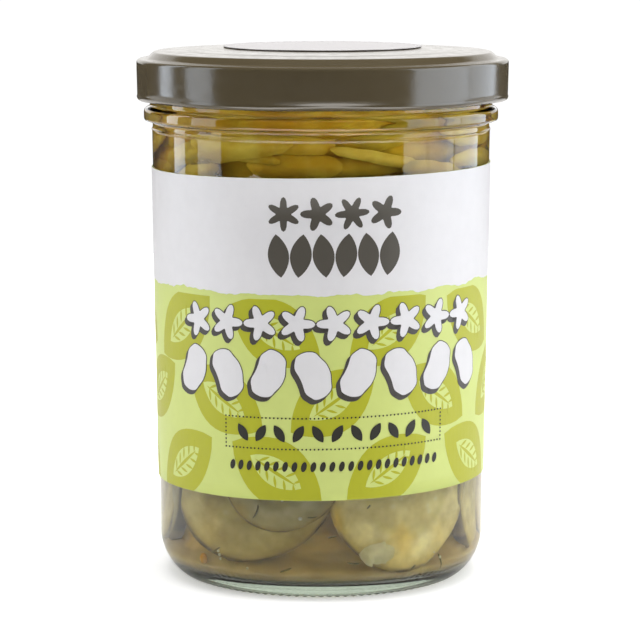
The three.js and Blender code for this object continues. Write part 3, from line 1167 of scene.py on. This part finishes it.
def cucumber():
    """Pale flesh with a darker seed core and an olive skin, from each point's place in its slice."""
    look, nodes, links, shader = new_look("pickled_cucumber")
    place = attribute(nodes, "place")
    split = nodes.new("ShaderNodeSeparateXYZ")
    links.new(place.outputs["Vector"], split.inputs["Vector"])
    flat = nodes.new("ShaderNodeCombineXYZ")
    links.new(split.outputs["X"], flat.inputs["X"])
    links.new(split.outputs["Y"], flat.inputs["Y"])
    length = nodes.new("ShaderNodeVectorMath")
    length.operation = "LENGTH"
    links.new(flat.outputs["Vector"], length.inputs[0])

    blotch = nodes.new("ShaderNodeTexNoise")
    dial(blotch, {"Scale": 3.2, "Detail": 5})
    links.new(place.outputs["Vector"], blotch.inputs["Vector"])
    fine = texture(nodes, links, 700, 4)

    ramp = nodes.new("ShaderNodeValToRGB")
    stops = (
        (0.0, (0.42, 0.35, 0.14)),
        (0.3, (0.5, 0.43, 0.18)),
        (0.55, (0.48, 0.41, 0.16)),
        (0.66, (0.64, 0.56, 0.28)),
        (0.88, (0.58, 0.49, 0.21)),
        (0.95, (0.42, 0.32, 0.1)),
        (0.985, (0.09, 0.06, 0.03)),
    )
    elements = ramp.color_ramp.elements
    while len(elements) < len(stops):
        elements.new(0.5)
    for element, (position, colour) in zip(elements, stops):
        element.position = position
        element.color = (*colour, 1)
    links.new(length.outputs["Value"], ramp.inputs["Fac"])

    seeds = nodes.new("ShaderNodeTexVoronoi")
    seeds.inputs["Scale"].default_value = 6.5
    links.new(place.outputs["Vector"], seeds.inputs["Vector"])
    inside = ranged(nodes, links, length.outputs["Value"], 0.62, 0.5)
    spot = ranged(nodes, links, seeds.outputs["Distance"], 0.3, 0.16)
    both = maths(nodes, links, "MULTIPLY", inside, spot)
    seeded = mixed(nodes, links, both, ramp.outputs["Color"], (0.5, 0.45, 0.22))
    cloudy = ranged(nodes, links, blotch.outputs["Fac"], 0.38, 0.7, 0.0, 0.7)
    clouded = mixed(nodes, links, cloudy, seeded, (0.36, 0.27, 0.08))
    golden = mixed(nodes, links, attribute(nodes, "stain").outputs["Fac"], clouded, (0.6, 0.41, 0.05))
    speck = ranged(nodes, links, texture(nodes, links, 330, 5), 0.36, 0.66)
    specked = mixed(nodes, links, speck, (0.8, 0.78, 0.72), (1.0, 1.0, 1.0))
    worn = nodes.new("ShaderNodeVectorMath")
    worn.operation = "MULTIPLY"
    links.new(golden, worn.inputs[0])
    links.new(specked, worn.inputs[1])
    tone = attribute(nodes, "tone")
    toned = nodes.new("ShaderNodeVectorMath")
    toned.operation = "SCALE"
    links.new(worn.outputs["Vector"], toned.inputs[0])
    links.new(tone.outputs["Fac"], toned.inputs["Scale"])
    links.new(toned.outputs["Vector"], shader.inputs["Base Color"])
    links.new(ranged(nodes, links, fine, 0.3, 0.7, 0.25, 0.45), shader.inputs["Roughness"])
    dial(shader, {
        "Specular IOR Level": 0.05,
        "Subsurface Weight": 0.25,
        "Subsurface Radius": (0.003, 0.0025, 0.001),
        "Subsurface Scale": 1.0,
    })
    bumped(nodes, links, shader, fine, 0.0002, 0.6)
    return look


def flesh(name, dark, light, scale, rough=0.4):
    """A plain material for soft bits: two colours by noise, with a fine grain."""
    look, nodes, links, shader = new_look(name)
    cloud = texture(nodes, links, scale, 4)
    share = ranged(nodes, links, cloud, 0.35, 0.65)
    links.new(mixed(nodes, links, share, dark, light), shader.inputs["Base Color"])
    worn = ranged(nodes, links, cloud, 0.3, 0.7, rough - 0.1, rough + 0.1)
    links.new(worn, shader.inputs["Roughness"])
    dial(shader, {
        "Specular IOR Level": 0.05,
        "Subsurface Weight": 0.35,
        "Subsurface Radius": (0.003, 0.002, 0.001),
        "Subsurface Scale": 1.0,
    })
    grain = texture(nodes, links, scale * 8, 3)
    bumped(nodes, links, shader, grain, 0.0002, 0.5)
    return look


def core_look():
    """Brown between the slices, lighter and golden from 84 mm up; the lighter golden top is partly the
    pickles' own colour and partly painted backlight.
    """
    look = flesh("packed_core_painted_lit_top", (0.45, 0.34, 0.18), (0.58, 0.46, 0.24), 130)
    nodes = look.node_tree.nodes
    links = look.node_tree.links
    shader = nodes["Principled BSDF"]
    where = nodes.new("ShaderNodeTexCoord")
    split = nodes.new("ShaderNodeSeparateXYZ")
    links.new(where.outputs["Object"], split.inputs["Vector"])
    # Painted light: from 84 mm up the core is painted lighter and golden, standing in for the backlight that
    # the open brine under the lid lets in.
    high = ranged(nodes, links, split.outputs["Z"], 0.084, 0.092)
    cloud = texture(nodes, links, 75, 5)
    share = ranged(nodes, links, cloud, 0.38, 0.62)
    golden = mixed(nodes, links, share, (0.74, 0.44, 0.07), (0.92, 0.76, 0.24))
    low = shader.inputs["Base Color"].links[0].from_socket
    links.new(mixed(nodes, links, high, low, golden), shader.inputs["Base Color"])
    return look


# Studio


def render_settings():
    scene = bpy.context.scene
    scene.view_settings.view_transform = "Standard"
    scene.view_settings.look = "None"
    scene.cycles.use_denoising = True
    scene.cycles.max_bounces = 24
    scene.cycles.glossy_bounces = 16
    scene.cycles.transmission_bounces = 16
    scene.cycles.transparent_max_bounces = 16
    scene.cycles.caustics_reflective = False


def pale_floor():
    """A round floor that glows a little, to the camera alone."""
    floor_mesh = bpy.data.meshes.new("floor")
    rim = [at(FLOOR_RADIUS, 2 * math.pi * i / 96, 0) for i in range(96)]
    floor_mesh.from_pydata(rim, [], [tuple(range(96))])
    floor = bpy.data.objects.new("floor", floor_mesh)
    bpy.context.scene.collection.objects.link(floor)
    look, nodes, links, shader = new_look("pale_floor")
    grain = texture(nodes, links, 220, 4)
    tone = mixed(nodes, links, grain, (0.9, 0.9, 0.9), (0.93, 0.93, 0.925))
    links.new(tone, shader.inputs["Base Color"])
    dial(shader, {"Roughness": 0.7, "Specular IOR Level": 0.2})
    glow = nodes.new("ShaderNodeEmission")
    dial(glow, {"Color": (1, 1, 1, 1), "Strength": 0.27})
    lifted = nodes.new("ShaderNodeAddShader")
    links.new(shader.outputs["BSDF"], lifted.inputs[0])
    links.new(glow.outputs["Emission"], lifted.inputs[1])
    direct = nodes.new("ShaderNodeLightPath").outputs["Is Camera Ray"]
    mix = mixed_shaders(nodes, links, direct, shader.outputs["BSDF"], lifted.outputs["Shader"])
    links.new(mix, nodes["Material Output"].inputs["Surface"])
    floor_mesh.materials.append(look)


def surroundings():
    """White past and through the jar, dark in most mirrored rays, and dim for the rest."""
    world = bpy.data.worlds.new("studio")
    bpy.context.scene.world = world
    world.use_nodes = True
    nodes = world.node_tree.nodes
    links = world.node_tree.links
    soft = nodes["Background"]
    soft.inputs["Color"].default_value = (0.12, 0.12, 0.12, 1)
    dark = nodes.new("ShaderNodeBackground")
    dark.inputs["Color"].default_value = (0.075, 0.065, 0.05, 1)
    white = nodes.new("ShaderNodeBackground")
    dial(white, {"Color": (1, 1, 1, 1), "Strength": 1.05})
    path = nodes.new("ShaderNodeLightPath").outputs
    way = nodes.new("ShaderNodeTexCoord")
    split = nodes.new("ShaderNodeSeparateXYZ")
    links.new(way.outputs["Generated"], split.inputs["Vector"])

    seen = maths(nodes, links, "MAXIMUM", path["Is Camera Ray"], path["Is Transmission Ray"])
    mirrored_once = maths(nodes, links, "COMPARE", path["Glossy Depth"], 1, 0.5)
    unmirrored = maths(nodes, links, "SUBTRACT", 1, mirrored_once)
    backdrop = maths(nodes, links, "GREATER_THAN", split.outputs["Y"], 0.1)
    lit = maths(nodes, links, "MAXIMUM", unmirrored, backdrop)
    behind = maths(nodes, links, "MULTIPLY", seen, lit)
    undiffused = maths(nodes, links, "LESS_THAN", path["Diffuse Depth"], 0.5)
    clear = mixed_shaders(nodes, links, behind, dark.outputs["Background"], white.outputs["Background"])
    mix = mixed_shaders(nodes, links, undiffused, soft.outputs["Background"], clear)
    links.new(mix, nodes["World Output"].inputs["Surface"])


def lamp(name, place, turn, size, radiance, card, tint=PLAIN):
    """A soft rectangle of light. A card only shows in mirrors, and any other lamp only lights."""
    data = bpy.data.lights.new(name, "AREA")
    data.shape = "RECTANGLE"
    data.size, data.size_y = size
    data.energy = radiance * math.pi * size[0] * size[1]
    data.color = tint
    box = bpy.data.objects.new(name, data)
    box.location = place
    box.rotation_euler = turn
    box.visible_camera = False
    box.visible_transmission = False
    box.visible_glossy = card
    box.visible_diffuse = not card
    bpy.context.scene.collection.objects.link(box)


def standing(name, degrees, distance, low, size, radiance, card, tint=PLAIN):
    """A lamp that stands on end at an angle round the jar and faces it."""
    angle = math.radians(degrees)
    place = (distance * math.sin(angle), -distance * math.cos(angle), low + size[1] / 2)
    lamp(name, place, (math.pi / 2, 0, angle), size, radiance, card, tint)


def lamps():
    for name, degrees, width, radiance in CARDS:
        standing(name, degrees, CARD_DISTANCE, CARD_LOW, (width, CARD_HEIGHT), radiance, True, COOL_CARD)
    standing("card_back", 180, 1.1, 0.12, (1.6, 0.9), 1.25, True)
    standing("key", 78, LAMP_DISTANCE, 0, (0.8, LAMP_HEIGHT), 2.7, False)
    standing("fill", -90, LAMP_DISTANCE, 0, (0.5, LAMP_HEIGHT), 3.6, False)
    lamp("top", (0.1, 0, 1.5), (0, 0, 0), (1.3, 1.3), 6.6, False)
    lamp("glow_below_lid", (0, -0.07, 0.086), (math.pi, 0, 0), (0.14, 0.04), 6.0, True)


def camera():
    data = bpy.data.cameras.new("camera")
    data.sensor_width = 36
    data.lens = LENS
    data.clip_start = 0.01
    eye = bpy.data.objects.new("camera", data)
    eye.location = EYE
    eye.rotation_euler = (math.pi / 2 - EYE_DOWN, 0, 0)
    bpy.context.scene.collection.objects.link(eye)
    bpy.context.scene.camera = eye


camera()
render_settings()
pale_floor()
surroundings()
lamps()
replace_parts(glass_jar(), "jar_glass")
brine()
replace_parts(lid(), "lid")
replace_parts(seal(), "lid_seal")
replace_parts(label(), "label")
print_label()
core()
slices()
small_bits()
